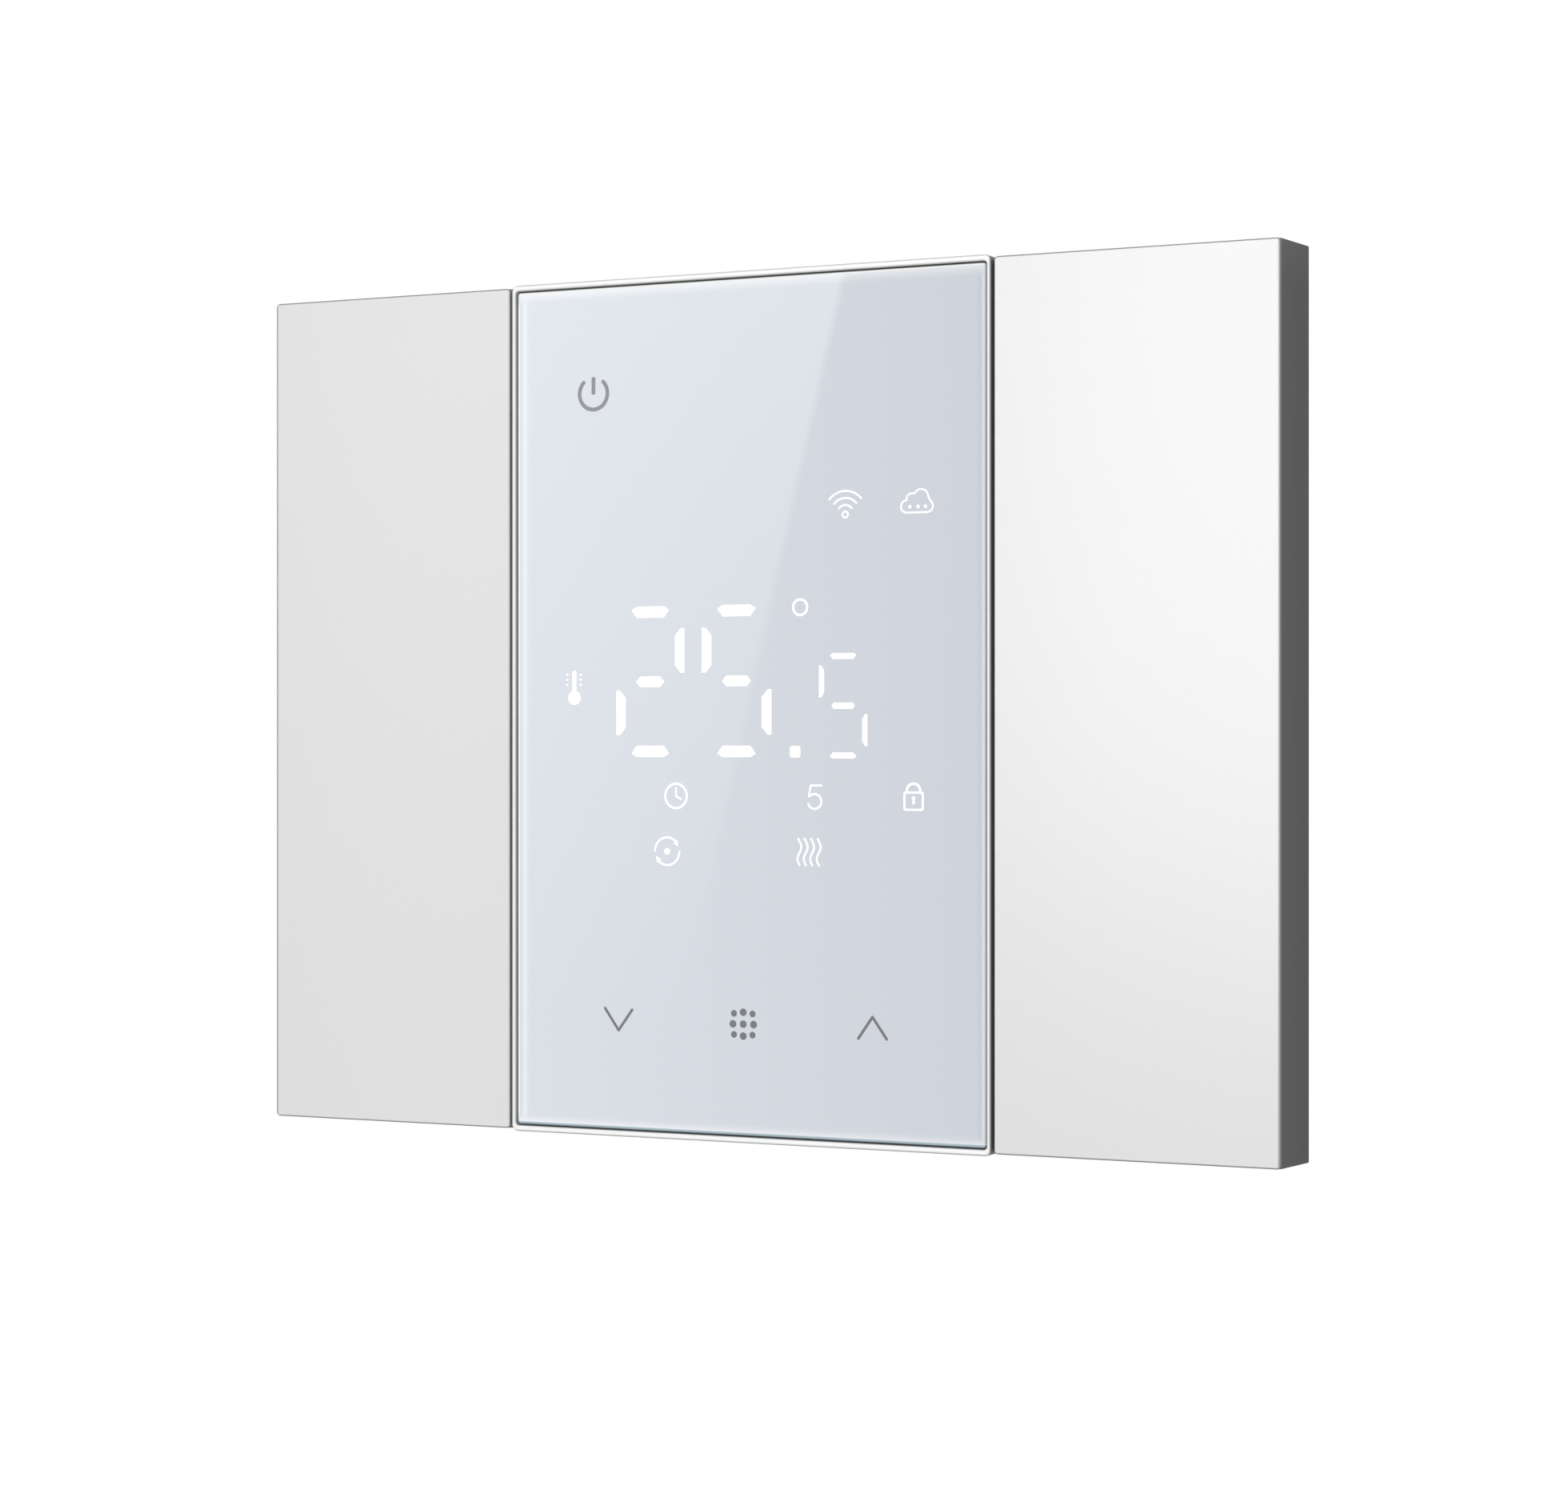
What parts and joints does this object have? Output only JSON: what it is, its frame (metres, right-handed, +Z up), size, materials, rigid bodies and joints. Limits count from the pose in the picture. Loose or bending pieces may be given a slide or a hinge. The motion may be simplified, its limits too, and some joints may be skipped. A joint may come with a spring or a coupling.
{
  "type": "wall thermostat",
  "caption": "Flush-mounted touch thermostat: a tall glass display head with a thin white rim between two plain side covers on a dark frame, with its power unit in the wall box behind.",
  "frame": {"origin": "centre of the wall plane, midway between the two wall-box screws", "axes": "-Y points out of the wall into the room, +X to the right as seen from the room, +Z up"},
  "size_m": [0.1244, 0.0364, 0.0966],
  "materials": {
    "dark_plastic": "fine satin",
    "white_cover": "satin",
    "white_rim": "semi-gloss",
    "back_painted_glass": "polished, painted bluish white behind",
    "black_adhesive": "matt",
    "diffuser": "matt",
    "white_inner_plastic": "matt",
    "led": "clear lens",
    "gold_spring": "gold plated",
    "green_board": "solder mask",
    "tan_board": "phenolic board",
    "black_chip": "moulded epoxy",
    "radio_shield": "tinned",
    "black_plastic": "satin",
    "zinc_steel": "zinc plated",
    "screw_steel": "zinc plated",
    "housing_plastic": "spark-eroded",
    "ferrite": "ground ferrite",
    "winding_tape": "tape",
    "capacitor_sleeve": "shrink sleeve",
    "yellow_capacitor": "potted case",
    "blue_lacquer": "lacquer",
    "copper_coil": "enamelled copper",
    "terminal_plastic": "satin",
    "brass": "bright"
  },
  "bodies": {
    "base": {"base_frame": "dark_plastic", "support_plate": "zinc_steel", "frame_screws": "screw_steel", "rear_housing": "housing_plastic", "housing_screws": "screw_steel", "housing_lid": "housing_plastic", "lid_screws": "screw_steel", "power_board": "tan_board", "header_socket": "black_plastic", "transformer_core": "ferrite", "transformer_winding": "winding_tape", "electrolytic_capacitors": "capacitor_sleeve", "suppression_capacitor": "yellow_capacitor", "varistor": "blue_lacquer", "fuse": "black_plastic", "converter_chip": "black_chip", "relay_case": "blue_lacquer", "relay_coil": "copper_coil", "terminal_block": "terminal_plastic", "terminal_contacts": "brass"},
    "head": {"front_bezel": "white_rim", "touch_glass": "back_painted_glass", "glass_adhesive": "black_adhesive", "diffuser_film": "diffuser", "light_box": "white_inner_plastic", "display_leds": "led", "touch_springs": "gold_spring", "control_board": "green_board", "microcontroller": "black_chip", "touch_controller": "black_chip", "radio_module": "radio_shield", "buzzer": "black_plastic", "room_sensor": "black_plastic", "head_header": "black_plastic", "head_back_cover": "white_inner_plastic", "head_screws": "screw_steel"},
    "left_cover": {"left_cover": "white_cover"},
    "right_cover": {"right_cover": "white_cover"},
    "relay_arm": {"relay_armature": "zinc_steel"},
    "screw_1": {"terminal_screw_1": "screw_steel"},
    "cage_1": {"terminal_cage_1": "brass"},
    "screw_2": {"terminal_screw_2": "screw_steel"},
    "cage_2": {"terminal_cage_2": "brass"},
    "screw_3": {"terminal_screw_3": "screw_steel"},
    "cage_3": {"terminal_cage_3": "brass"},
    "screw_4": {"terminal_screw_4": "screw_steel"},
    "cage_4": {"terminal_cage_4": "brass"},
    "screw_5": {"terminal_screw_5": "screw_steel"},
    "cage_5": {"terminal_cage_5": "brass"},
    "screw_6": {"terminal_screw_6": "screw_steel"},
    "cage_6": {"terminal_cage_6": "brass"}
  },
  "joints": [
    {"name": "head_pull_off", "type": "slide", "parent": "base", "child": "head", "axis": [0, -1, 0], "range_m": [0, 0.012]},
    {"name": "left_cover_pull_off", "type": "slide", "parent": "base", "child": "left_cover", "axis": [0, -1, 0], "range_m": [0, 0.01]},
    {"name": "right_cover_pull_off", "type": "slide", "parent": "base", "child": "right_cover", "axis": [0, -1, 0], "range_m": [0, 0.01]},
    {"name": "relay_armature_tilt", "type": "hinge", "parent": "base", "child": "relay_arm", "pos_m": [-0.0229, 0.0162, 0.0135], "axis": [0, 0, -1], "range_deg": [0, 3], "stiffness_Nm_per_rad": 0.01, "springref_deg": -2.86},
    {"name": "terminal_screw_1_turn", "type": "hinge", "parent": "base", "child": "screw_1", "pos_m": [-0.0225, 0.0248, -0.0168], "axis": [0, -1, 0], "range_deg": [0, 2161]},
    {"name": "terminal_cage_1_lift", "type": "slide", "parent": "base", "child": "cage_1", "axis": [0, 1, 0], "range_m": [0, 0.003]},
    {"name": "terminal_screw_2_turn", "type": "hinge", "parent": "base", "child": "screw_2", "pos_m": [-0.0135, 0.0248, -0.0168], "axis": [0, -1, 0], "range_deg": [0, 2161]},
    {"name": "terminal_cage_2_lift", "type": "slide", "parent": "base", "child": "cage_2", "axis": [0, 1, 0], "range_m": [0, 0.003]},
    {"name": "terminal_screw_3_turn", "type": "hinge", "parent": "base", "child": "screw_3", "pos_m": [-0.0045, 0.0248, -0.0168], "axis": [0, -1, 0], "range_deg": [0, 2161]},
    {"name": "terminal_cage_3_lift", "type": "slide", "parent": "base", "child": "cage_3", "axis": [0, 1, 0], "range_m": [0, 0.003]},
    {"name": "terminal_screw_4_turn", "type": "hinge", "parent": "base", "child": "screw_4", "pos_m": [0.0045, 0.0248, -0.0168], "axis": [0, -1, 0], "range_deg": [0, 2161]},
    {"name": "terminal_cage_4_lift", "type": "slide", "parent": "base", "child": "cage_4", "axis": [0, 1, 0], "range_m": [0, 0.003]},
    {"name": "terminal_screw_5_turn", "type": "hinge", "parent": "base", "child": "screw_5", "pos_m": [0.0135, 0.0248, -0.0168], "axis": [0, -1, 0], "range_deg": [0, 2161]},
    {"name": "terminal_cage_5_lift", "type": "slide", "parent": "base", "child": "cage_5", "axis": [0, 1, 0], "range_m": [0, 0.003]},
    {"name": "terminal_screw_6_turn", "type": "hinge", "parent": "base", "child": "screw_6", "pos_m": [0.0225, 0.0248, -0.0168], "axis": [0, -1, 0], "range_deg": [0, 2161]},
    {"name": "terminal_cage_6_lift", "type": "slide", "parent": "base", "child": "cage_6", "axis": [0, 1, 0], "range_m": [0, 0.003]}
  ],
  "couplings": [
    {"joint": "terminal_screw_1_turn", "follows": "terminal_cage_1_lift", "rad_per_m": 12566},
    {"joint": "terminal_screw_2_turn", "follows": "terminal_cage_2_lift", "rad_per_m": 12566},
    {"joint": "terminal_screw_3_turn", "follows": "terminal_cage_3_lift", "rad_per_m": 12566},
    {"joint": "terminal_screw_4_turn", "follows": "terminal_cage_4_lift", "rad_per_m": 12566},
    {"joint": "terminal_screw_5_turn", "follows": "terminal_cage_5_lift", "rad_per_m": 12566},
    {"joint": "terminal_screw_6_turn", "follows": "terminal_cage_6_lift", "rad_per_m": 12566}
  ]
}
